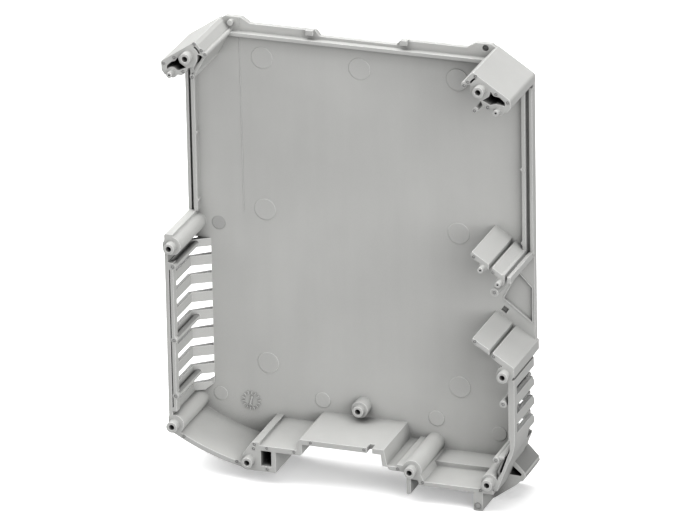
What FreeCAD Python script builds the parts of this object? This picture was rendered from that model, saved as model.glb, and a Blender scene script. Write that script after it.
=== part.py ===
import FreeCAD, Part
import os
import Sketcher
from math import atan2, cos, hypot, radians, sin, sqrt

# One half of a moulded rail housing. Across is X, up is Z, and the open side looks along -Y.
# The outer face of the plate lies in y = 0, and every depth is measured from there towards the viewer.
# X = 0 is the middle of the rail slot, Z = 0 is the face that sits on the rail.

doc = FreeCAD.newDocument("rail_housing")
sheet = doc.addObject("Spreadsheet::Sheet", "Sizes")


class Size:
    """A length in the sheet, or a sum made of such lengths, with its value and its rule."""

    def __init__(self, value, rule=None):
        self.value = float(value)
        self.rule = rule or "%.10g" % value

    def joined(self, sign, other, value):
        return Size(value, "(%s %s %s)" % (self.rule, sign, other.rule))

    def __add__(self, other):
        other = sized(other)
        return self.joined("+", other, self.value + other.value)

    def __sub__(self, other):
        other = sized(other)
        return self.joined("-", other, self.value - other.value)

    def __mul__(self, other):
        other = sized(other)
        return self.joined("*", other, self.value * other.value)

    def __truediv__(self, other):
        other = sized(other)
        return self.joined("/", other, self.value / other.value)

    def __radd__(self, other):
        return sized(other) + self

    def __rsub__(self, other):
        return sized(other) - self

    def __rmul__(self, other):
        return sized(other) * self

    def __neg__(self):
        return Size(-self.value, "(0 - %s)" % self.rule)


def sized(length):
    return length if isinstance(length, Size) else Size(length)


def size(name, value):
    """Writes one named length into the sheet."""
    size.row += 1
    sheet.set("A%d" % size.row, name)
    sheet.set("B%d" % size.row, str(value))
    sheet.setAlias("B%d" % size.row, name)
    return Size(value, "Sizes." + name)


size.row = 0

# The whole
half_width = size("half_width", 46.45)
top_height = size("top_height", 110.7)
plate_thickness = size("plate_thickness", 1.5)
rim_depth = size("rim_depth", 20.2)
spigot_reach = size("spigot_reach", 2.3)
wall = size("wall", 1.25)
# The upper edge of the plate, stepped down twice towards the middle
ear_step = size("ear_step", 1.5)
middle_step = size("middle_step", 1.4)
ear_run = size("ear_run", 16.25)
middle_half = size("middle_half", 10.2)
step_run = size("step_run", 1.2)
corner_run = size("corner_run", 10.95)
corner_drop = size("corner_drop", 7.7)
# The rail slot and the folded wall above it
rail_slot = size("rail_slot", 35.4)
left_foot_drop = size("left_foot_drop", 5.75)
right_foot_drop = size("right_foot_drop", 6.95)
seat_thickness = size("seat_thickness", 1.45)
bridge_height = size("bridge_height", 3.15)
bridge_thickness = size("bridge_thickness", 1.4)
bridge_half = size("bridge_half", 11.3)
curve_radius = size("curve_radius", 62.0)
# The right hand foot
right_floor_top = size("right_floor_top", -2.85)
right_floor_rise = size("right_floor_rise", 1.25)
right_floor_step = size("right_floor_step", 9.5)
toe_drop = size("toe_drop", 9.0)
toe_inset = size("toe_inset", 11.2)
toe_width = size("toe_width", 2.5)
heel_depth = size("heel_depth", 11.5)
# Bosses with hollow spigots, and the small pins
boss_radius = size("boss_radius", 2.35)
spigot_radius = size("spigot_radius", 1.45)
spigot_bore = size("spigot_bore", 0.75)
bore_depth = size("bore_depth", 7.0)
pin_radius = size("pin_radius", 0.75)
pin_bore = size("pin_bore", 0.3)
# Corner blocks, which stand out past the plate on the right and stay behind it on the left
right_corner_outset = size("right_corner_outset", 0.25)
left_corner_inset = size("left_corner_inset", 0.45)
# Heights of the sloped walls on the right and of the bosses on the left
upper_slope_height = size("upper_slope_height", 58.0)
lower_slope_height = size("lower_slope_height", 35.0)
left_boss_height = size("left_boss_height", 53.8)
left_corner_height = size("left_corner_height", 4.4)
peg_height = size("peg_height", 7.85)
# Louvres in both side walls
side_inset = size("side_inset", 0.9)
left_side_wall = size("left_side_wall", 1.0)
right_side_wall = size("right_side_wall", 1.35)
bend_run = size("bend_run", 5.55)
bend_depth = size("bend_depth", 4.4)
panel_thickness = size("panel_thickness", 0.9)
left_slot_pitch = size("left_slot_pitch", 5.05)
right_slot_pitch = size("right_slot_pitch", 5.2)
slot_gap = size("slot_gap", 2.35)
slot_front = size("slot_front", 2.1)
left_slot_drop = size("left_slot_drop", 9.05)
right_slot_drop = size("right_slot_drop", 11.6)
# Low ribs on the plate
lip_width = size("lip_width", 0.85)
lip_height = size("lip_height", 1.1)
groove_width = size("groove_width", 0.85)
rib_width = size("rib_width", 1.0)
rib_height = size("rib_height", 1.7)

rail_half = rail_slot / 2
tip_depth = rim_depth + spigot_reach
ear_inner = half_width - ear_run
side_inner = half_width - side_inset
bend_inner = half_width - bend_run
left_outer = side_inner + left_side_wall
right_outer = side_inner + right_side_wall


def place(sketch, geometry, point, spot):
    """Ties one point of a sketch to its place across and up."""
    for kind, length in zip(("DistanceX", "DistanceY"), spot):
        length = sized(length)
        number = sketch.addConstraint(Sketcher.Constraint(kind, -1, 1, geometry, point, length.value))
        if "Sizes." in length.rule:
            sketch.setExpression("Constraints[%d]" % number, length.rule)


def bow(start, end, radius):
    """Arc between two spots; a positive radius bulges to the right of the way from start to end."""
    run = end[0] - start[0]
    rise = end[1] - start[1]
    chord = hypot(run, rise)
    reach = abs(radius)
    away = sqrt(max(reach * reach - chord * chord / 4, 0)) * (-1 if radius < 0 else 1)
    middle = ((start[0] + end[0]) / 2 - away * rise / chord, (start[1] + end[1]) / 2 + away * run / chord)
    circle = Part.Circle(FreeCAD.Vector(middle[0], middle[1], 0), FreeCAD.Vector(0, 0, 1), reach)
    turns = [atan2(spot[1] - middle[1], spot[0] - middle[0]) for spot in (start, end)]
    if radius < 0:
        turns.reverse()
    return Part.ArcOfCircle(circle, turns[0], turns[1])


def draw(body, name, loops, rounds=(), plane="XZ_Plane", lift=0):
    """Sketch with closed outlines and whole circles, lifted off its plane."""
    planes = {feature.Role: feature for feature in body.Origin.OriginFeatures}
    sketch = body.newObject("Sketcher::SketchObject", name)
    sketch.AttachmentSupport = [(planes[plane], "")]
    sketch.MapMode = "FlatFace"
    lift = sized(lift)
    sketch.AttachmentOffset.Base.z = lift.value
    if "Sizes." in lift.rule:
        sketch.setExpression(".AttachmentOffset.Base.z", lift.rule)
    for loop in loops:
        spots = [spot for spot in loop if isinstance(spot, tuple)]
        bends = {}
        for number, spot in enumerate(loop):
            if not isinstance(spot, tuple):
                bends[sum(isinstance(other, tuple) for other in loop[:number]) - 1] = sized(spot)
        first = sketch.GeometryCount
        count = len(spots)
        flat = [tuple(sized(length).value for length in spot) for spot in spots]
        for number in range(count):
            start, end = flat[number], flat[(number + 1) % count]
            if number in bends:
                sketch.addGeometry(bow(start, end, bends[number].value))
            else:
                ends = [FreeCAD.Vector(spot[0], spot[1], 0) for spot in (start, end)]
                sketch.addGeometry(Part.LineSegment(ends[0], ends[1]))
        for number in range(count):
            turned = number in bends and bends[number].value < 0
            after = (number + 1) % count
            after_turned = after in bends and bends[after].value < 0
            sketch.addConstraint(Sketcher.Constraint(
                "Coincident", first + number, 1 if turned else 2, first + after, 2 if after_turned else 1))
            place(sketch, first + number, 2 if turned else 1, spots[number])
            if number in bends:
                radius = bends[number] if bends[number].value > 0 else -bends[number]
                fixed = sketch.addConstraint(Sketcher.Constraint("Radius", first + number, radius.value))
                if "Sizes." in radius.rule:
                    sketch.setExpression("Constraints[%d]" % fixed, radius.rule)
    for across, up, radius in rounds:
        centre = FreeCAD.Vector(sized(across).value, sized(up).value, 0)
        radius = sized(radius)
        circle = sketch.addGeometry(Part.Circle(centre, FreeCAD.Vector(0, 0, 1), radius.value))
        place(sketch, circle, 3, (across, up))
        fixed = sketch.addConstraint(Sketcher.Constraint("Radius", circle, radius.value))
        if "Sizes." in radius.rule:
            sketch.setExpression("Constraints[%d]" % fixed, radius.rule)
    sketch.Visibility = False
    return sketch


def grow(body, kind, name, sketch, length):
    feature = body.newObject(kind, name)
    feature.Profile = sketch
    feature.Refine = False
    length = sized(length)
    feature.Length = length.value
    if "Sizes." in length.rule:
        feature.setExpression("Length", length.rule)
    return feature


def raise_up(body, name, loops, low, high, rounds=()):
    """Material between two depths."""
    sketch = draw(body, name + "_outline", loops, rounds, lift=low)
    return grow(body, "PartDesign::Pad", name, sketch, sized(high) - low)


def cut_down(body, name, loops, high, low, rounds=()):
    """Cut between two depths, from the open side."""
    sketch = draw(body, name + "_outline", loops, rounds, lift=high)
    return grow(body, "PartDesign::Pocket", name, sketch, sized(high) - low)


def start(name):
    body = doc.addObject("PartDesign::Body", name)
    body.AllowCompound = True
    return body


def moved(loop, across, up):
    """An outline drawn about one spot, brought to that spot."""
    return [(across + spot[0], up + spot[1]) if isinstance(spot, tuple) else spot for spot in loop]


def box(left, low, right, high):
    return [(left, low), (right, low), (right, high), (left, high)]


def mirrored(loop):
    """The same outline on the other side of the middle."""
    swapped = []
    for spot in loop:
        swapped.append((-sized(spot[0]), spot[1]) if isinstance(spot, tuple) else -sized(spot))
    return swapped


# Plate with its stepped upper edge and cut off upper corners
ear_height = top_height
middle_height = top_height - ear_step
low_height = middle_height - middle_step
shoulder_height = top_height - corner_drop
left_top_slot = left_boss_height - left_slot_drop
right_top_slot = lower_slope_height - right_slot_drop
panel_low = left_corner_height + 2.8
panel_high = left_top_slot + slot_gap + 2.2
right_panel_low = 2.6
right_panel_high = right_top_slot + slot_gap + 2.4
left_rib_low = left_boss_height + 3.2
rib_high = top_height - 10.2
right_side = [
    (middle_half, low_height),
    (middle_half + step_run, middle_height),
    (ear_inner - step_run, middle_height),
    (ear_inner + step_run, ear_height),
    (half_width - corner_run, ear_height),
    (half_width, shoulder_height),
    (half_width, right_panel_high + 1.0),
    (bend_inner, right_panel_high + 1.0),
    (bend_inner, 3.0),
    (right_outer - 4.1, 1.2),
    (right_outer - 5.9, -3.4),
    (rail_half + 4.0, -3.4),
    (rail_half + 1.3, -2.0),
    (rail_half + 0.9, -0.4),
    (bridge_half + 1.6, -0.4),
    (bridge_half + 0.7, 0.2),
    (bridge_half - 0.1, bridge_height + 0.75),
]
left_side = [
    (-bridge_half + 0.2, bridge_height + 0.75),
    (-bridge_half - 0.1, 0.7),
    (-rail_half - 0.6, 0.7),
    (-rail_half - 0.6, -left_foot_drop + 0.85),
    (-rail_half - 8.9, -4.6),
    -(curve_radius - wall / 2),
    (-half_width + 0.7, left_corner_height - 1.5),
    (-half_width + 1.85, left_corner_height + 3.0),
    (-bend_inner - 2.2, left_corner_height + 3.0),
    (-bend_inner, left_corner_height + 4.7),
    (-bend_inner, panel_high),
    (-left_outer + 0.3, panel_high),
    (-half_width, left_rib_low),
    (-half_width, shoulder_height),
    (-half_width + corner_run, ear_height),
    (-ear_inner - step_run, ear_height),
    (-ear_inner + step_run, middle_height),
    (-middle_half - step_run, middle_height),
    (-middle_half, low_height),
]
bridge_top = bridge_height + bridge_thickness
plate_body = start("plate_body")
raise_up(plate_body, "plate", [right_side + left_side], 0, plate_thickness)
# Panels that cut off the corner between the plate and each louvred side wall, and the walls themselves
sides = start("side_walls")
for side, low, high, outer, name in (
    (-1, panel_low, panel_high, left_outer, "left"),
    (1, right_panel_low, right_panel_high, right_outer, "right"),
):
    bend = [
        (bend_inner - 0.2, 0),
        (bend_inner - 0.2, -plate_thickness),
        (bend_inner, -plate_thickness),
        (side_inner, -bend_depth),
        (side_inner, -rim_depth),
        (outer, -rim_depth),
        (outer, -bend_depth + panel_thickness * 0.3),
        (bend_inner + 0.9, 0),
    ]
    if side < 0:
        bend = mirrored(bend)
    sketch = draw(sides, name + "_side_outline", [bend], plane="XY_Plane", lift=low)
    grow(sides, "PartDesign::Pad", name + "_side", sketch, high - low)

# Slots: through the side wall, then on through the sloped panel
slot_out = bend_inner + 0.05
fin_tops = {}
for side, top, pitch, lowest, name in (
    (-1, left_top_slot, left_slot_pitch, panel_low, "left"),
    (1, right_top_slot, right_slot_pitch, sized(11.4), "right"),
):
    slots = []
    fin_tops[name] = []
    low = top
    while low.value > lowest.value:
        edge = box(slot_out, low, half_width + 2, low + slot_gap)
        slots.append(edge if side > 0 else mirrored(edge))
        fin_tops[name].append(low)
        low = low - pitch
    cut_down(sides, name + "_slots", slots, rim_depth - slot_front, 0)
half_slot = low - 0.35
half_slot_top = low + slot_gap
half_slot_box = box(slot_out, half_slot, half_width + 2, half_slot_top)
cut_down(sides, "right_half_slot", [half_slot_box], bend_depth + 4, 0)

# The upper back corner of each right hand fin is rounded off
fin_corners = []
for top in fin_tops["right"]:
    fin_corners.append([
        (0.5, top + 0.1),
        (-bend_depth - 0.9, top + 0.1),
        (-bend_depth - 0.7, top - 0.45),
        (-bend_depth - 0.15, top - 1.05),
        (-bend_depth + 0.35, top - 1.5),
        (0.5, top - 1.5),
    ])
sketch = draw(sides, "fin_corners_outline", fin_corners, plane="YZ_Plane", lift=half_width + 2)
grow(sides, "PartDesign::Pocket", "fin_corners", sketch, half_width + 2 - side_inner)

# A small ramp closes the inner corner of the lowest slot on the left
last = fin_tops["left"][-1]
ramp = [(0.2, -0.2), (0.2, 1.3), (-2.1, -0.2)]
raise_up(sides, "slot_ramp", [moved(ramp, -bend_inner, last)], plate_thickness - 0.5, plate_thickness + 0.4)
panel_corner = [(-2.3, -0.1), (0.3, -0.1), (0.3, 1.95)]
panel_corner = moved(panel_corner, -bend_inner, panel_low)
cut_down(sides, "panel_corner_cut", [panel_corner], bend_depth, plate_thickness)

# The lower right side wall curves inwards, and nothing stands out past its outer face
curve_cut = [(-0.1, 11.4), (3.0, 11.4), (3.0, 1.0), (-3.4, 1.0), (-1.95, 4.8), 14.0]
cut_down(sides, "right_curve_cut", [moved(curve_cut, right_outer, 0)], rim_depth, 0)

# Frames that thicken the front of the louvred walls
frame_in = side_inner - 1.2
frame_low = left_corner_height + 3.6
frame_high = left_boss_height - 4.6
left_frame = box(-side_inner - 0.1, frame_low, -frame_in, frame_high)
raise_up(sides, "left_frame", [left_frame], rim_depth - slot_front, rim_depth)
groove = box(-side_inner, frame_low + 1.0, -side_inner + 0.35, frame_high - 2.0)
cut_down(sides, "left_frame_groove", [groove], rim_depth, rim_depth - 0.6)
right_frame = box(side_inner - 0.3, 11.6, side_inner + 0.3, lower_slope_height - 4.2)
raise_up(sides, "right_frame", [right_frame], rim_depth - slot_front, rim_depth)
boss_wall = [(0, -4.8), (0.75, -4.8), (0.75, 0.2), (2.55, 1.4), (2.25, 3.2), (0.5, 3.2), 0.5, (0, 2.7)]
raise_up(sides, "boss_wall", [moved(boss_wall, -left_outer, left_boss_height)], 0, rim_depth)
low_wall = box(-left_outer, left_corner_height, -side_inner, panel_low + 0.4)
raise_up(sides, "left_low_wall", [low_wall], 2.0, rim_depth)

# Low ribs and lips on the plate
lip_in = half_width - lip_width
groove_in = lip_in - groove_width
rib_in = groove_in - rib_width
lips = [box(lip_in, upper_slope_height - 2.6, half_width, rib_high)]
ribs = [box(rib_in, upper_slope_height - 3.1, groove_in, rib_high)]
lips.append(mirrored(box(lip_in, left_rib_low, half_width, rib_high)))
ribs.append(mirrored(box(rib_in, left_rib_low, groove_in, rib_high)))
ribs.append(box(-half_width + corner_run, low_height - 1.8, half_width - corner_run, low_height - 0.8))
raise_up(plate_body, "edge_lips", lips, 0, plate_thickness + lip_height)
raise_up(plate_body, "inner_ribs", ribs, plate_thickness - 0.5, plate_thickness + rib_height)
lug = box(middle_half + 1.4, middle_height - 1.0, middle_half + 3.4, middle_height + 0.3)
raise_up(plate_body, "edge_lugs", [lug, mirrored(lug)], plate_thickness - 0.5, plate_thickness + 1.2)
wedges = []
wedge = [(0.2, 0), (0.2, 1.8), (-0.5, 1.1)]
for low, fall in ((left_boss_height + 5.2, 1.5), (left_boss_height + 23.7, 0.0)):
    wedges.append(mirrored(moved(wedge, rib_in, low)))
    wedges.append(moved(wedge, rib_in, low - fall))
raise_up(plate_body, "rib_wedges", wedges, plate_thickness - 0.5, plate_thickness + rib_height)

# Hollow corner blocks that follow the cut off corners, open towards the viewer
def corner_block(out):
    return [
        (1.5 - corner_run, -0.6),
        (out - 0.5, 1.17 - corner_drop - out * 0.68),
        -1.0,
        (out, -7.6),
        (out, -9.1),
        (out - 0.8, -10.1),
        (-1.95, -10.4),
        (-4.25, -9.8),
        (-5.85, -10.0),
        (-7.05, -9.1),
        (-7.55, -7.9),
        (-9.45, -7.1),
        (-10.15, -5.5),
        (-10.25, -3.9),
        (-11.15, -4.0),
        (-11.85, -4.5),
        (-12.15, -3.6),
        (-10.45, -1.3),
    ]


def corner_pocket(out):
    return [
        (-4.95, -5.1),
        (-4.25, -6.2),
        (out - 2.8, -6.5),
        (out - 1.5, -7.7),
        (out - 1.5, -8.6),
        (out - 2.5, -8.5),
        (-3.65, -8.3),
        (-5.15, -8.7),
        (-7.15, -7.7),
        (-5.45, -6.6),
    ]


def corner_arc(inner, first, last):
    """Narrow curved slot about the boss, between two directions."""
    ends = []
    for radius, angles in ((inner + 0.5, (first, last)), (inner, (last, first))):
        for angle in angles:
            ends.append((radius * cos(radians(angle)) - 7.6, radius * sin(radians(angle)) - 4.75))
    return [ends[0], inner + 0.5, ends[1], ends[2], -inner, ends[3]]


corners = start("corner_blocks_body")
blocks = []
pockets = []
for out, name in ((right_corner_outset, "right"), (-left_corner_inset, "left")):
    block = moved(corner_block(out), half_width, top_height)
    hollow = moved(corner_pocket(out), half_width, top_height)
    arc = corner_arc(2.7, 116.0, 154.0) if name == "right" else corner_arc(3.1, 122.0, 160.0)
    arc = moved(arc, half_width, top_height)
    blocks.append(block if name == "right" else mirrored(block))
    pockets.extend((hollow, arc) if name == "right" else (mirrored(hollow), mirrored(arc)))
raise_up(corners, "corner_blocks", blocks, 0.4, rim_depth)
cut_down(corners, "corner_pockets", pockets, rim_depth, 4.0)
web = [(11.95, -3.6), (8.35, -9.8), (8.95, -10.2), (12.55, -4.0)]
raise_up(corners, "corner_web", [moved(web, -half_width, top_height)], 0.4, rim_depth - 0.8)

# Folded wall over the rail: left foot, seat, bridge and the channel beside the right foot
left_foot = [
    (-rail_half - 9.3, -left_foot_drop + 0.65),
    (-rail_half - 8.3, -left_foot_drop),
    (-rail_half, -left_foot_drop),
    (-rail_half, 0.0),
    (-bridge_half + 0.4, 0.0),
    (-bridge_half + 0.8, 0.4),
    (-bridge_half + 0.8, bridge_height),
    (bridge_half - 0.45, bridge_height),
    (bridge_half, 0.0),
    (bridge_half + 1.3, 0.0),
    (bridge_half + 1.9, -0.85),
    (rail_half - 0.3, -0.85),
    (rail_half - 0.3, 1.0),
    (rail_half - 2.5, 1.0),
    (rail_half - 2.5, 0.3),
    (bridge_half + 1.2, 0.3),
    (bridge_half + 0.4, bridge_top),
    (-bridge_half + 0.4, bridge_top),
    (-bridge_half - 0.4, bridge_top - 0.6),
    (-bridge_half - 0.6, seat_thickness),
    (-rail_half - 4.3, seat_thickness),
    (-rail_half - 4.3, seat_thickness + 0.85),
    (-rail_half - 6.2, seat_thickness + 0.85),
    (-rail_half - 9.3, -1.9),
]
foot = start("foot_body")
raise_up(foot, "rail_wall", [left_foot], 0, rim_depth)
pocket = box(-rail_half - 4.0, -left_foot_drop + 1.6, -rail_half - 1.15, 0.05)
cut_down(foot, "left_foot_pocket", [pocket], rim_depth, 3.0)
notch = box(bridge_half - 4.2, bridge_height - 1, bridge_half - 2.7, bridge_top + 1)
cut_down(foot, "bridge_notch", [notch], rim_depth, rim_depth - 2.7)

# Curved wall from the lower left corner to the left foot
curved = [
    (-half_width + 0.45, left_corner_height - 2.1),
    curve_radius,
    (-rail_half - 9.1, -5.2),
    (-rail_half - 8.7, -4.0),
    wall - curve_radius,
    (-half_width + 0.95, left_corner_height - 0.9),
]
raise_up(foot, "curved_wall", [curved], 0, rim_depth)

# Right foot: leg beside the rail, stepped floor, toe and the hollow heel behind it
leg_right = rail_half + wall - 0.1
leg = [
    (rail_half, -0.5),
    (rail_half, -right_foot_drop + 0.4),
    0.5,
    (rail_half + 0.5, -right_foot_drop),
    (leg_right - 0.4, -right_foot_drop),
    0.5,
    (leg_right, -right_foot_drop + 0.4),
    (leg_right, -2.6),
    (rail_half + 2.9, -2.6),
    (rail_half + 4.0, right_floor_top - 1.15),
    (rail_half + 5.3, right_floor_top - 1.15),
    (rail_half + 4.7, right_floor_top),
    (rail_half + 3.5, -0.5),
]
raise_up(foot, "rail_leg", [leg], 0, rim_depth)
floor_under = right_floor_top - 1.15
floor_side = [
    (-right_floor_step, right_floor_top + right_floor_rise),
    (-right_floor_step, right_floor_top),
    (-rim_depth, right_floor_top),
    (-rim_depth, floor_under),
    (-right_floor_step + 1.1, floor_under),
    (-right_floor_step + 1.1, floor_under + right_floor_rise),
    (0, floor_under + right_floor_rise),
    (0, right_floor_top + right_floor_rise),
]
sketch = draw(foot, "right_floor_outline", [floor_side], plane="YZ_Plane", lift=rail_half + 3.3)
grow(foot, "PartDesign::Pad", "right_floor", sketch, right_outer - rail_half - 9.2)
toe_left = right_outer - toe_inset
toe = [
    (toe_left, floor_under + 0.6),
    (toe_left, -toe_drop + 0.3),
    0.3,
    (toe_left + 0.3, -toe_drop),
    (toe_left + toe_width - 0.3, -toe_drop),
    0.3,
    (toe_left + toe_width, -toe_drop + 0.3),
    (toe_left + toe_width, -3.2),
    (toe_left + 3.9, -2.6),
    (toe_left + 2.5, -1.0),
    (toe_left + 1.7, right_floor_top),
]
raise_up(foot, "toe", [toe], 0, rim_depth)
heel = [
    (-5.9, 4.4),
    (-3.2, 2.2),
    (-0.2, -0.95),
    0.9,
    (0.05, -1.9),
    (-0.8, -3.3),
    1.5,
    (-2.2, -4.3),
    (-8.7, -toe_drop),
    (-10.9, -toe_drop),
    (-10.9, -3.6),
    (-5.9, -3.2),
]
heel_hollow = [(-3.5, 0.65), (-4.6, -1.75), (-1.5, -1.95), 0.5, (-1.2, -1.3)]
raise_up(foot, "heel", [moved(heel, right_outer, 0)], 0, heel_depth)
cut_down(foot, "heel_hollow", [moved(heel_hollow, right_outer, 0)], heel_depth, 2.0)

# Lower right side wall, which the lowest slot notches, with a thin liner inside it
right_wall = [
    (0, 11.8),
    (-1.15, 11.8),
    (-1.15, 9.1),
    (-2.15, 6.5),
    (-3.5, 2.6),
    (-4.5, 0.9),
    (-5.8, -2.9),
    (-4.8, -2.9),
    (-3.2, 1.3),
    (-1.85, 4.8),
    14.0,
    (0, 11.5),
]
raise_up(foot, "right_wall", [moved(right_wall, right_outer, 0)], bend_depth - 0.25, rim_depth)
notch_out = box(right_outer - 2.3, half_slot, half_width + 2, half_slot_top)
cut_down(foot, "right_wall_notch", [notch_out], bend_depth + 4, 0)
liner = [
    (-1.0, 10.6),
    (-1.75, 10.2),
    (-3.1, 6.7),
    (-4.0, 4.7),
    (-5.2, 1.7),
    (-4.9, 0.6),
    (-4.0, 0.9),
    (-4.6, 2.0),
    (-3.55, 4.7),
    (-2.6, 6.7),
    (-1.3, 9.7),
    (-1.0, 9.8),
]
liner_web = [(-4.6, 5.6), (-3.0, 6.0), (-2.9, 6.6), (-4.5, 6.5)]
upper_step = [(-1.3, 12.3), (-1.75, 11.9), (-1.75, 10.2), (-3.1, 6.7), (-3.1, 3.9), (-2.4, 5.0), (-1.3, 9.0)]
lower_step = [(-2.5, 8.0), (-3.1, 6.7), (-4.0, 4.7), (-5.2, 1.7), (-4.9, 0.6), (-4.0, 0.9), (-2.5, 4.9)]
raise_up(foot, "right_liner", [moved(liner, right_outer, 0)], bend_depth - 0.5, rim_depth - 1.5)
raise_up(foot, "liner_web", [moved(liner_web, right_outer, 0)], bend_depth - 1.5, rim_depth - 0.4)
raise_up(foot, "liner_upper_step", [moved(upper_step, right_outer, 0)], bend_depth - 1.0, rim_depth - 7)
raise_up(foot, "liner_lower_step", [moved(lower_step, right_outer, 0)], bend_depth - 2.2, rim_depth - 7)

# Sloped double walls on the right side, each split by a narrow slit
upper = [(-10.75, 3.2), (-10.35, 4.0), (-5.95, 1.1), (-5.95, -0.4), (-8.85, 1.5), (-9.85, 1.8)]
upper_right = [(-5.05, 0.4), (-2.45, -1.4), (-2.45, -3.1), (-5.05, -1.2)]
lower = [(-10.75, 2.7), (-10.45, 3.5), (-6.05, 0.8), (-6.05, -0.7), (-8.45, 0.9), (-9.85, 1.6)]
lower_right = [(-5.6, 0.1), (0, -3.5), (0, -6.2), (-1.5, -4.4), (-5.6, -1.6)]
slopes = start("sloped_walls_body")
slope_loops = [moved(loop, half_width, upper_slope_height) for loop in (upper, upper_right)]
slope_loops.append(moved(lower, half_width, lower_slope_height))
slope_loops.append(moved(lower_right, right_outer, lower_slope_height))
raise_up(slopes, "sloped_walls", slope_loops, 0, rim_depth)
tongues = [
    box(rib_in, upper_slope_height - 3.1, rib_in + 0.9, upper_slope_height - 1.3),
    box(half_width - 1.15, upper_slope_height - 3.6, half_width - 0.25, upper_slope_height - 1.9),
]
raise_up(slopes, "tongue_walls", tongues, 0, rim_depth)
tongue_floor = [(-2.85, -2.1), (-0.45, -3.4), (-0.45, -2.9), (-2.85, -1.6)]
raise_up(slopes, "tongue_floor", [moved(tongue_floor, half_width, upper_slope_height)], 0, rim_depth - 1.5)

# Recess for a tag beside them, and a small square sinking
tag = [(-8.15, 7.5), 0.5, (-7.75, 6.9), (-0.5, 1.4), (-0.5, 10.6), (-4.35, 14.7)]
square = [(-9.15, 3.9), (-7.85, 3.0), (-6.95, 4.3), (-8.25, 5.2)]
for name, outline, depth in (("tag_recess", tag, 0.8), ("square_sinking", square, 1.0)):
    outline = moved(outline, half_width, lower_slope_height)
    cut_down(plate_body, name, [outline], plate_thickness, plate_thickness - depth)

# Bosses, each with a hollow spigot that stands out past the rim
bosses = [
    (-half_width + 7.65, top_height - 4.6, boss_radius),
    (half_width - 7.55, top_height - 4.9, boss_radius),
    (-half_width + 1.85, left_boss_height, boss_radius + 0.1),
    (-half_width + 1.35, left_corner_height, boss_radius + 0.2),
    (-rail_half - 7.05, -2.9, boss_radius),
    (rail_half + 1.55, 0.05, boss_radius + 0.2),
    (half_width - 6.45, -0.7, boss_radius - 0.15),
    (half_width - 2.0, lower_slope_height - 5.5, boss_radius - 0.15),
]
stems = start("stems_body")
bores = start("bores_body")
raise_up(stems, "bosses", [], 0, rim_depth, bosses)
flat = box(-half_width - 2, left_corner_height - 3, -left_outer - 0.2, left_corner_height + 3)
cut_down(stems, "flat_on_corner_boss", [flat], rim_depth, 0)
pins = [
    (-half_width + 3.35, top_height - 9.4, 1.45),
    (half_width - 2.95, top_height - 9.9, 1.45),
    (half_width - 7.5, upper_slope_height + 0.1, 1.1),
    (half_width - 2.95, upper_slope_height - 3.3, 1.1),
]
raise_up(stems, "pin_bosses", [], 0, rim_depth, pins)
for name, spots, outer, hole, bottom in (
    ("spigots", bosses, spigot_radius, spigot_bore, bore_depth),
    ("pins", pins, pin_radius, pin_bore, sized(3.0)),
):
    tips = [(spot[0], spot[1], outer) for spot in spots]
    holes = [(spot[0], spot[1], hole) for spot in spots]
    raise_up(stems, name, [], rim_depth - 0.5, tip_depth, tips)
    raise_up(bores, name + "_bores", [], tip_depth - bottom, tip_depth + 1, holes)

# Round posts, and the short peg on the plate
posts = [
    (-half_width + 2.0, left_boss_height - 5.7, 0.85),
    (-half_width + 1.85, left_boss_height - 26.0, 0.85),
    (-half_width + 1.85, left_corner_height + 7.9, 0.85),
    (half_width - 2.55, lower_slope_height - 13.7, 0.95),
    (half_width - 4.6, 5.6, 0.9),
    (half_width - 4.55, upper_slope_height - 6.4, 1.05),
    (half_width - 12.05, top_height - 3.9, 0.6),
    (-half_width + 12.25, top_height - 3.7, 0.6),
    (half_width - 8.85, top_height - 10.3, 0.6),
    (-half_width + 8.65, top_height - 10.0, 0.6),
]
raise_up(stems, "posts", [], 0, rim_depth, posts)
peg_spot = (sized(-0.1), peg_height)
raise_up(stems, "peg", [], 0, plate_thickness + 3.5, [(*peg_spot, boss_radius - 0.15)])
raise_up(stems, "peg_spigot", [], plate_thickness + 3.0, plate_thickness + 5.0, [(*peg_spot, spigot_radius)])
raise_up(bores, "peg_bore", [], plate_thickness + 1.0, plate_thickness + 6.0, [(*peg_spot, spigot_bore)])
# A short peg on one ear and a blind hole in the other
ear_peg = (-half_width + 12.55, top_height - 1.4, 0.75)
raise_up(stems, "ear_peg", [], plate_thickness - 0.5, plate_thickness + 1.2, [ear_peg])
ear_hole = (half_width - 12.5, top_height - 1.2, 0.85)
raise_up(bores, "ear_hole", [], plate_thickness - 1.1, plate_thickness + 1, [ear_hole])

whole = doc.addObject("Part::MultiFuse", "whole")
whole.Shapes = [plate_body, sides, corners, foot, slopes, stems]
shell = doc.addObject("Part::Cut", "shell")
shell.Base = whole
shell.Tool = bores
shell.Refine = True
shell.Label = "housing_shell"
doc.recompute()

broken = [thing.Name for thing in doc.Objects if {"Invalid", "Error"} & set(thing.State)]
if broken or shell.Shape.isNull() or not shell.Shape.isValid() or len(shell.Shape.Solids) != 1:
    raise SystemExit("not built: %s, solids %d" % (broken, len(shell.Shape.Solids)))
print(shell.Shape.Volume, len(shell.Shape.Faces), shell.Shape.BoundBox)
os.makedirs("parts", exist_ok=True)
shell.Shape.exportStep("parts/housing_shell.step")
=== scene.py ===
import math

import bmesh
import bpy
from mathutils import Matrix, Vector


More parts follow.
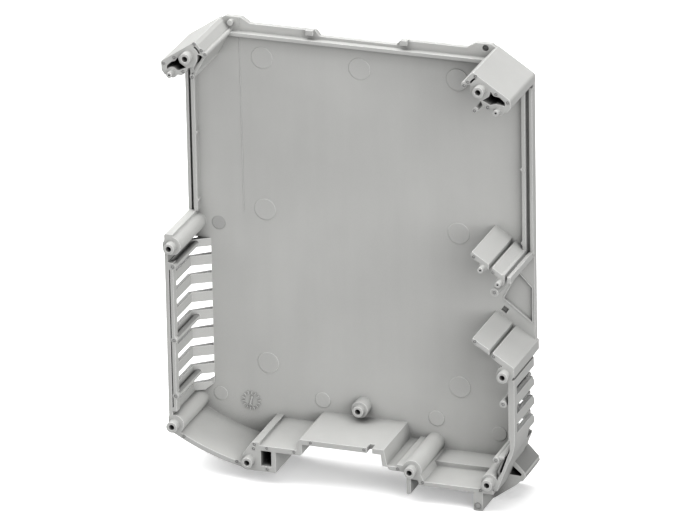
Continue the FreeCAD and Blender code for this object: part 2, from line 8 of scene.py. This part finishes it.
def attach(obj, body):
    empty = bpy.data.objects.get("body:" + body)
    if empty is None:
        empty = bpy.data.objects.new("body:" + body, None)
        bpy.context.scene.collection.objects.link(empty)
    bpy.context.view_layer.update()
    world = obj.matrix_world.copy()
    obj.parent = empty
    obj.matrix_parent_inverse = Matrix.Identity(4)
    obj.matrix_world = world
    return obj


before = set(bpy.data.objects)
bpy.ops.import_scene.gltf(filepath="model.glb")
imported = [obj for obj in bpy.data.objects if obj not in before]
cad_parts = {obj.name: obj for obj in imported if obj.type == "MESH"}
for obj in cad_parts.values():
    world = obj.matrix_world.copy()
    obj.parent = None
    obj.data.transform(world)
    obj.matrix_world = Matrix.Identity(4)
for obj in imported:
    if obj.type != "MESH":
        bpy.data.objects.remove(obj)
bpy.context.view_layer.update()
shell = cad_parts["housing_shell"]
MM = 0.001
bpy.context.scene.view_settings.view_transform = "Standard"

# Inner face of the plate and rims of the walls, measured from the outer face of the plate
plate_face = 1.5 * MM
rim_face = 20.2 * MM

# Scales of the plastic's clouds, flow streaks and grain, and how strongly streaks and grain show
cloud_scale = 38.0
streak_scale = (260.0, 260.0, 34.0)
grain_scale = 5200.0
streak_share = 0.035
grain_share = 0.07
grain_depth = 0.03 * MM
# Values of the cloud pattern at which the plastic is darkest and lightest
cloud_stops = (0.30, 0.72)

# Softened edges and the highlight painted on them: their reach, the pale tone of the painted highlight, the
# turn of the surface at which it begins and is full, its greatest share, and how open the spot has to be
edge_softness = 0.3 * MM
highlight_tone = (0.94, 0.94, 0.93, 1)
edge_turn = (0.985, 0.78)
highlight_share = 0.85
edge_openness = (0.50, 0.80)

# How far round a spot a deep pocket, a narrow slot, a hollow and a corner are felt
pocket_reach = 18.0 * MM
slot_reach = 1.5 * MM
hollow_reach = 5.0 * MM
corner_reach = 12.0 * MM
# Openness at which a shade is full, openness at which it ends, and the brightness left where it is full
bore_shade = (0.02, 0.09, 0.02)
pocket_shade = (0.08, 0.34, 0.02)
hollow_shade = (0.08, 0.80, 0.42)
corner_shade = (0.30, 0.95, 0.86)
# Openness of the narrow slots, which stay lighter, and of the wide pockets, dark from their mouth on
slot_openness = (0.25, 0.55)
# Upper faces in the shade of what is above them: left, right, foot and top in millimetres, and the
# brightness left
shaded_places = {
    "louvres on the left": (-60.0, -36.5, 9.5, 51.0, 0.5),
    "fins on the right": (43.8, 60.0, 5.0, 25.0, 0.45),
    "heel behind the right foot": (41.5, 60.0, -12.0, 4.5, 0.5),
}
# How far a face looks up where that shade begins and is full, how far behind the rims it begins and is full,
# and how softly it ends at its sides and at its foot and top
looks_up = (0.35, 0.6)
behind_rims = (1.0 * MM, 1.5 * MM)
side_blend = 0.2
level_blend = 0.5

# Light and dark tones of the shell's plastic, and the darker tones that paint shade into the dimples and into
# the grooves
shell_tones = ((0.50, 0.501, 0.487), (0.46, 0.461, 0.449))
dimple_shade_tones = ((0.40, 0.40, 0.393), (0.35, 0.35, 0.343))
groove_shade_tones = ((0.22, 0.22, 0.216), (0.18, 0.18, 0.177))


def node(tree, kind, **values):
    """Adds a node, with its sockets and its own settings given by name."""
    made = tree.nodes.new(kind)
    for name, value in values.items():
        if name in made.inputs:
            made.inputs[name].default_value = value
        else:
            setattr(made, name, value)
    return made


def scaled(tree, value, low, high, new_low, new_high):
    """Maps one range of a value onto another and keeps it inside."""
    ranges = {"From Min": low, "From Max": high, "To Min": new_low, "To Max": new_high}
    made = node(tree, "ShaderNodeMapRange", **ranges)
    tree.links.new(value, made.inputs["Value"])
    return made.outputs["Result"]


def multiplied(tree, first, second):
    made = node(tree, "ShaderNodeMath", operation="MULTIPLY")
    tree.links.new(first, made.inputs[0])
    tree.links.new(second, made.inputs[1])
    return made.outputs["Value"]


def openness(tree, reach, samples):
    """How much of the room round a spot is free, out to a reach."""
    return node(tree, "ShaderNodeAmbientOcclusion", samples=samples, Distance=reach).outputs["AO"]


def flowed_tone(tree, place, clouds, grain, light, dark):
    """Cloudy tone between dark and light, with faint flow streaks and fine grain."""
    stretch = node(tree, "ShaderNodeMapping", Scale=streak_scale)
    tree.links.new(place.outputs["Object"], stretch.inputs["Vector"])
    streaks = node(tree, "ShaderNodeTexNoise", Scale=1.0, Detail=2.0, Roughness=0.5)
    tree.links.new(stretch.outputs["Vector"], streaks.inputs["Vector"])
    tone = tree.nodes.new("ShaderNodeValToRGB")
    for stop, position, grey in zip(tone.color_ramp.elements, cloud_stops, (dark, light)):
        stop.position = position
        stop.color = (*grey, 1)
    tree.links.new(clouds, tone.inputs["Fac"])
    colour = tone.outputs["Color"]
    for pattern, share in ((streaks.outputs["Fac"], streak_share), (grain, grain_share)):
        mixed = node(tree, "ShaderNodeMix", data_type="RGBA", blend_type="OVERLAY")
        mixed.inputs["Factor"].default_value = share
        tree.links.new(colour, mixed.inputs["A"])
        tree.links.new(pattern, mixed.inputs["B"])
        colour = mixed.outputs["Result"]
    return colour


def with_painted_edge_highlights(tree, colour, soft_normal, hollow):
    """Painted highlight: paler where the surface turns over an edge that stands free, as if the edge caught
    the light.
    """
    surface = tree.nodes.new("ShaderNodeNewGeometry")
    turn = node(tree, "ShaderNodeVectorMath", operation="DOT_PRODUCT")
    tree.links.new(surface.outputs["Normal"], turn.inputs[0])
    tree.links.new(soft_normal, turn.inputs[1])
    # Painted highlight, full where the surface turns most, and only on edges that stand open
    highlight_mask = scaled(tree, turn.outputs["Value"], *edge_turn, 0.0, highlight_share)
    free_edge = scaled(tree, hollow, *edge_openness, 0.0, 1.0)
    edged = node(tree, "ShaderNodeMix", data_type="RGBA")
    tree.links.new(multiplied(tree, highlight_mask, free_edge), edged.inputs["Factor"])
    tree.links.new(colour, edged.inputs["A"])
    edged.inputs["B"].default_value = highlight_tone
    return edged.outputs["Result"]


def shades_by_place(tree, place):
    """Brightness left on the upper faces of each shaded place, and full brightness everywhere else."""
    where = tree.nodes.new("ShaderNodeSeparateXYZ")
    tree.links.new(place.outputs["Object"], where.inputs["Vector"])
    across, deep, up = (where.outputs[axis] for axis in "XYZ")
    facing = tree.nodes.new("ShaderNodeSeparateXYZ")
    tree.links.new(place.outputs["Normal"], facing.inputs["Vector"])
    begins, full = behind_rims
    behind = scaled(tree, deep, -rim_face + begins, -rim_face + full, 0.0, 1.0)
    shades = []
    for left, right, foot, top, brightness in shaded_places.values():
        shaded = multiplied(tree, scaled(tree, facing.outputs["Z"], *looks_up, 0.0, 1.0), behind)
        for position, limit, blend in (
                (across, left, side_blend), (across, right, -side_blend),
                (up, foot, level_blend), (up, top, -level_blend)):
            within = scaled(tree, position, (limit - blend) * MM, (limit + blend) * MM, 0.0, 1.0)
            shaded = multiplied(tree, shaded, within)
        shades.append(scaled(tree, shaded, 0.0, 1.0, 1.0, brightness))
    return shades


def with_shade(tree, colour, place, hollow):
    """Darker in bores, wide pockets, hollows and corners, and on the upper faces of the shaded places."""
    pocket = openness(tree, pocket_reach, 8)
    corner = openness(tree, corner_reach, 8)
    wide = scaled(tree, openness(tree, slot_reach, 4), *slot_openness, 0.0, 1.0)
    shades = [
        (scaled(tree, pocket, *bore_shade, 1.0), None),
        (scaled(tree, pocket, *pocket_shade, 1.0), wide),
        (scaled(tree, hollow, *hollow_shade, 1.0), None),
        (scaled(tree, corner, *corner_shade, 1.0), None),
    ]
    shades += [(brightness, None) for brightness in shades_by_place(tree, place)]
    for brightness, share in shades:
        shade = node(tree, "ShaderNodeMix", data_type="RGBA", blend_type="MULTIPLY")
        shade.inputs["Factor"].default_value = 1.0
        tree.links.new(colour, shade.inputs["A"])
        tree.links.new(brightness, shade.inputs["B"])
        if share:
            tree.links.new(share, shade.inputs["Factor"])
        colour = shade.outputs["Result"]
    return colour


def moulded_plastic(name, light, dark, rough, highlighted_edges):
    """Matt moulded plastic with painted shade, and with painted highlights on its edges where they are asked
    for.
    """
    material = bpy.data.materials.new(name)
    material.use_nodes = True
    tree = material.node_tree
    tree.nodes.clear()
    out = tree.nodes.new("ShaderNodeOutputMaterial")
    shader = node(tree, "ShaderNodeBsdfPrincipled", **{"Specular IOR Level": 0.55, "IOR": 1.53})
    tree.links.new(shader.outputs["BSDF"], out.inputs["Surface"])

    place = tree.nodes.new("ShaderNodeTexCoord")
    cloud_noise = node(tree, "ShaderNodeTexNoise", Scale=cloud_scale, Detail=3.0, Roughness=0.55)
    grain_noise = node(tree, "ShaderNodeTexNoise", Scale=grain_scale, Detail=2.0, Roughness=0.6)
    for noise in (cloud_noise, grain_noise):
        tree.links.new(place.outputs["Object"], noise.inputs["Vector"])
    clouds = cloud_noise.outputs["Fac"]
    grain = grain_noise.outputs["Fac"]
    soft_normal = node(tree, "ShaderNodeBevel", samples=6, Radius=edge_softness).outputs["Normal"]
    hollow = openness(tree, hollow_reach, 8)

    colour = flowed_tone(tree, place, clouds, grain, light, dark)
    # Painted highlights on the edges
    if highlighted_edges:
        colour = with_painted_edge_highlights(tree, colour, soft_normal, hollow)
    colour = with_shade(tree, colour, place, hollow)
    tree.links.new(colour, shader.inputs["Base Color"])

    roughness = scaled(tree, clouds, 0.25, 0.75, rough - 0.05, rough + 0.07)
    tree.links.new(roughness, shader.inputs["Roughness"])
    bump = node(tree, "ShaderNodeBump", Strength=0.22, Distance=grain_depth)
    tree.links.new(grain, bump.inputs["Height"])
    tree.links.new(soft_normal, bump.inputs["Normal"])
    tree.links.new(bump.outputs["Normal"], shader.inputs["Normal"])
    return material


plastic = moulded_plastic("light_grey_plastic", *shell_tones, rough=0.50, highlighted_edges=True)
# Painted shade: darker plastics for the dimples and the grooves of the marks
dimple_shade_plastic = moulded_plastic("dimple_painted_shade_plastic", *dimple_shade_tones, rough=0.60, highlighted_edges=False)
groove_shade_plastic = moulded_plastic("groove_painted_shade_plastic", *groove_shade_tones, rough=0.60, highlighted_edges=False)
shell.data.materials.clear()
shell.data.materials.append(plastic)

# How far ridges, small marks and wide marks are sunk into the face under them, in millimetres
ridge_sink = 0.05
small_sink = 0.05
wide_sink = 0.03
# Steps of the full turn of small and wide marks
small_steps = 32
wide_steps = 64


def piece(name, mesh, material):
    """Closes a mesh, turns its faces outwards and makes it a piece of the shell."""
    bmesh.ops.remove_doubles(mesh, verts=mesh.verts, dist=0.0001 * MM)
    bmesh.ops.recalc_face_normals(mesh, faces=mesh.faces)
    data = bpy.data.meshes.new(name)
    mesh.to_mesh(data)
    mesh.free()
    made = bpy.data.objects.new(name, data)
    bpy.context.scene.collection.objects.link(made)
    data.materials.append(material)
    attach(made, "root")


def round_mark(mesh, profile, across, up, face, steps):
    """Spins a profile of radius and height, in millimetres, about an axis square to a face."""
    mark = bmesh.new()
    points = [mark.verts.new(Vector((radius, -height, 0)) * MM) for radius, height in profile]
    lines = [mark.edges.new(ends) for ends in zip(points, points[1:])]
    bmesh.ops.spin(
        mark, geom=points + lines, axis=(0, 1, 0), angle=2 * math.pi, steps=steps, use_merge=True)
    bmesh.ops.translate(mark, verts=mark.verts, vec=(across * MM, -face, up * MM))
    data = bpy.data.meshes.new("mark")
    mark.to_mesh(data)
    mark.free()
    mesh.from_mesh(data)
    bpy.data.meshes.remove(data)


def ridge(mesh, start, end, width, face, height):
    """Low straight ridge between two spots across and up, all in millimetres, on a face."""
    run = Vector((end[0] - start[0], 0, end[1] - start[1])) * MM
    middle = Vector((start[0] + end[0], 0, start[1] + end[1])) * MM / 2
    middle.y = -face - (height - ridge_sink) / 2 * MM
    turn = Matrix.Rotation(-math.atan2(run.z, run.x), 4, "Y")
    size = Matrix.Diagonal((run.length, (height + ridge_sink) * MM, width * MM, 1))
    bmesh.ops.create_cube(mesh, size=1.0, matrix=Matrix.Translation(middle) @ turn @ size)


# Small round ejector marks on the rims of the walls, on the tips of the posts and on the toe: across and up
rim_marks = [
    (-37.0, 109.6), (-45.3, 103.5), (-42.5, 105.4), (-40.2, 101.8), (-35.1, 108.0), (-34.1, 107.0),
    (-37.7, 100.6), (42.9, 105.0), (45.95, 103.1), (40.7, 101.3), (37.6, 109.2), (35.6, 107.4), (34.6, 106.4),
    (37.2, 100.0), (-28.3, -3.85), (-23.4, 1.6), (-23.6, 0.35), (-20.0, 0.9), (-12.6, 0.8), (6.4, 3.9),
    (15.4, -0.2), (22.1, -3.1), (37.6, -3.3), (36.55, 37.6), (41.55, 34.1), (36.6, 60.7), (41.6, 56.95),
    (-42.6, 1.35), (-20.0, -4.9), (-8.1, 3.95),
]
post_marks = [(-44.45, 48.1), (-44.6, 27.8), (-44.6, 12.3), (43.9, 21.3), (41.85, 5.6), (41.9, 51.6)]
toe_marks = [(36.9, -7.6)]
rim_radius, post_radius, toe_radius = 0.46, 0.50, 0.92
# Heights above the rim, and the widths of the ring's crest, of its foot, of its inner slope and of the groove
ring_height, groove_height, dimple_height = 0.06, 0.012, 0.03
crest_width, foot_width, inner_slope, groove_width = 0.07, 0.12, 0.02, 0.17


def small_ejector_marks():
    """A low ring, a slightly lower groove inside it that is painted dark for its shade, and a shallow dimple
    in the middle painted darker for its shade, at every spot.
    """
    rings = bmesh.new()
    grooves = bmesh.new()
    dimples = bmesh.new()
    for marks, radius in ((rim_marks, rim_radius), (post_marks, post_radius), (toe_marks, toe_radius)):
        inside = radius - inner_slope
        middle = radius - groove_width
        ring = [
            (inside, ring_height / 2), (radius, ring_height), (radius + crest_width, ring_height),
            (radius + foot_width, -small_sink), (inside, -small_sink), (inside, ring_height / 2)]
        groove = [(0, groove_height), (radius, groove_height), (radius, -small_sink), (0, -small_sink)]
        dimple = [
            (0, dimple_height), (middle, dimple_height),
            (middle + inner_slope, -small_sink), (0, -small_sink)]
        for across, up in marks:
            round_mark(rings, ring, across, up, rim_face, small_steps)
            round_mark(grooves, groove, across, up, rim_face, small_steps)
            round_mark(dimples, dimple, across, up, rim_face, small_steps)
    piece("rim_ejector_rings", rings, plastic)
    piece("rim_ejector_grooves", grooves, groove_shade_plastic)
    piece("rim_ejector_dimples", dimples, dimple_shade_plastic)


# Wide ejector marks on the inner face of the plate: across, up, radius and height
plate_marks = [
    (-25.9, 100.3, 2.9, 0.08), (0.3, 100.2, 2.9, 0.1), (26.4, 100.2, 2.9, 0.2), (-25.9, 59.0, 2.9, 0.14),
    (26.2, 58.5, 2.9, 0.08), (-26.0, 16.4, 2.9, 0.1), (26.0, 16.2, 2.9, 0.15), (-39.3, 6.2, 1.9, 0.1),
    (-11.3, 7.8, 2.1, 0.14), (19.6, 6.7, 2.1, 0.18), (36.5, 4.5, 2.0, 0.16),
]
# Round dimple beside the left boss, painted darker for its shade
dark_across, dark_up, dark_radius, dark_height = -38.7, 53.8, 1.8, 0.09
# Width of the softened edge, the part of the height that the edge keeps, and how far the foot stands out
soft_width, edge_height, foot_reach = 0.06, 0.7, 0.02


def wide_ejector_marks():
    """Low round discs with a softened edge, and the dimple painted darker for its shade."""
    discs = bmesh.new()
    for across, up, radius, height in plate_marks:
        disc = [
            (0, height), (radius - soft_width, height), (radius, height * edge_height),
            (radius + foot_reach, -wide_sink), (0, -wide_sink)]
        round_mark(discs, disc, across, up, plate_face, wide_steps)
    piece("plate_ejector_marks", discs, plastic)
    dimple = bmesh.new()
    dark_disc = [
        (0, dark_height), (dark_radius, dark_height),
        (dark_radius + soft_width, -wide_sink), (0, -wide_sink)]
    round_mark(dimple, dark_disc, dark_across, dark_up, plate_face, wide_steps)
    piece("plate_ejector_dimple", dimple, dimple_shade_plastic)


# Date clock of the mould: its middle, and the number, turn in degrees, ends, width and height of its marks
clock_across, clock_up = -30.9, 5.3
clock_marks = 14
clock_turn = 8
mark_ends = (1.85, 2.65)
mark_width, mark_height = 0.3, 0.34
# Shaft, foot and barb of the clock's arrow, from its middle: start, end, width and height
arrow_strokes = [
    ((-0.3, -1.2), (0.3, 1.2), 0.42, 0.38),
    ((-0.75, -1.2), (0.2, -1.1), 0.3, 0.34),
    ((0.3, 1.2), (-0.3, 0.55), 0.3, 0.34),
]


def date_clock():
    """A ring of short marks about an arrow."""
    strokes = list(arrow_strokes)
    for mark in range(clock_marks):
        angle = math.radians(360 / clock_marks * mark + clock_turn)
        near, far = ((reach * math.cos(angle), reach * math.sin(angle)) for reach in mark_ends)
        strokes.append((near, far, mark_width, mark_height))
    clock = bmesh.new()
    for start, end, width, height in strokes:
        start, end = ((clock_across + across, clock_up + up) for across, up in (start, end))
        ridge(clock, start, end, width, plate_face, height)
    piece("mould_date_clock", clock, plastic)


# Line that the split of the mould leaves on the plate, below and above the rib along the upper edge
split_runs = [((-31.7, 58.0), (-31.9, 106.9)), ((-31.9, 108.3), (-31.95, 110.4))]
split_width, split_height = 0.16, 0.07
# Low ridge round the tag recess
recess_outline = [
    (45.8, 36.3), (45.8, 45.95), (42.0, 50.0), (38.1, 42.6), (38.15, 42.0), (38.6, 41.7), (45.6, 36.4)]
recess_width, recess_height = 0.26, 0.16


def plate_ridges(name, runs, width, height):
    """One low ridge on the plate for each run."""
    ridges = bmesh.new()
    for start, end in runs:
        ridge(ridges, start, end, width, plate_face, height)
    piece(name, ridges, plastic)


small_ejector_marks()
wide_ejector_marks()
date_clock()
plate_ridges("mould_split_line", split_runs, split_width, split_height)
plate_ridges("tag_recess_ridge", zip(recess_outline, recess_outline[1:]), recess_width, recess_height)


def look_from(azimuth, elevation, roll, spot, lens):
    """Camera at a spot, to the right of the open side, above it and rolled a little, all in degrees."""
    data = bpy.data.cameras.new("camera")
    data.lens = lens
    data.sensor_width = 36
    data.clip_start = 0.1
    data.clip_end = 20
    camera = bpy.data.objects.new("camera", data)
    bpy.context.scene.collection.objects.link(camera)
    bpy.context.scene.camera = camera
    swing = Matrix.Rotation(math.radians(azimuth), 4, "Z")
    tilt = Matrix.Rotation(math.radians(90 - elevation), 4, "X")
    lean = Matrix.Rotation(math.radians(-roll), 4, "Z")
    camera.matrix_world = Matrix.Translation(spot) @ swing @ tilt @ lean


look_from(azimuth=19.88, elevation=22.34, roll=1.07, spot=(0.6205, -1.7263, 0.8007), lens=400)

# Level of the floor, just under the lowest point of the shell, and its reach to each side
floor_level = -9.05 * MM
floor_reach = 3.0
# Strength of the room light from below and from above, and the belt in which one becomes the other
light_below, light_above = 0.42, 0.03
light_belt = 0.1


def pale_floor():
    """Flat pale floor that the shell stands on."""
    grid = bmesh.new()
    level = Matrix.Translation((0, 0, floor_level))
    bmesh.ops.create_grid(grid, x_segments=2, y_segments=2, size=floor_reach, matrix=level)
    data = bpy.data.meshes.new("floor")
    grid.to_mesh(data)
    grid.free()
    floor = bpy.data.objects.new("floor", data)
    bpy.context.scene.collection.objects.link(floor)
    # The floor throws no light back onto the part
    floor.visible_diffuse = False
    floor.visible_glossy = False
    pale = bpy.data.materials.new("pale_floor")
    pale.use_nodes = True
    sockets = pale.node_tree.nodes["Principled BSDF"].inputs
    sockets["Base Color"].default_value = (0.95, 0.95, 0.95, 1)
    sockets["Roughness"].default_value = 0.9
    # A faint glow of its own keeps the shadow on the floor light
    sockets["Emission Color"].default_value = (1.0, 1.0, 1.0, 1)
    sockets["Emission Strength"].default_value = 0.3
    data.materials.append(pale)


def room_light():
    """White room light that is stronger from below the level of the floor than from above it."""
    world = bpy.data.worlds.new("studio")
    bpy.context.scene.world = world
    world.use_nodes = True
    tree = world.node_tree
    background = tree.nodes["Background"]
    background.inputs["Color"].default_value = (1.0, 1.0, 1.0, 1)
    heading = tree.nodes.new("ShaderNodeTexCoord")
    parts = tree.nodes.new("ShaderNodeSeparateXYZ")
    tree.links.new(heading.outputs["Generated"], parts.inputs["Vector"])
    strength = scaled(tree, parts.outputs["Z"], -light_belt, light_belt, light_below, light_above)
    tree.links.new(strength, background.inputs["Strength"])


def soft_sun(name, ahead, angle, strength):
    """Wide soft light that falls evenly over the whole floor."""
    data = bpy.data.lights.new(name, "SUN")
    data.angle = math.radians(angle)
    data.energy = strength
    made = bpy.data.objects.new(name, data)
    bpy.context.scene.collection.objects.link(made)
    made.rotation_euler = Vector(ahead).to_track_quat("-Z", "Y").to_euler()


pale_floor()
room_light()
soft_sun("overhead", ahead=(0, 0.05, -1), angle=60, strength=2.2)
soft_sun("upper_left", ahead=(1, 0, -1.2), angle=60, strength=2.9)
soft_sun("front_right", ahead=(-1, 1, -0.45), angle=60, strength=2.9)
soft_sun("behind", ahead=(0.2, -1, -0.02), angle=20, strength=1.7)
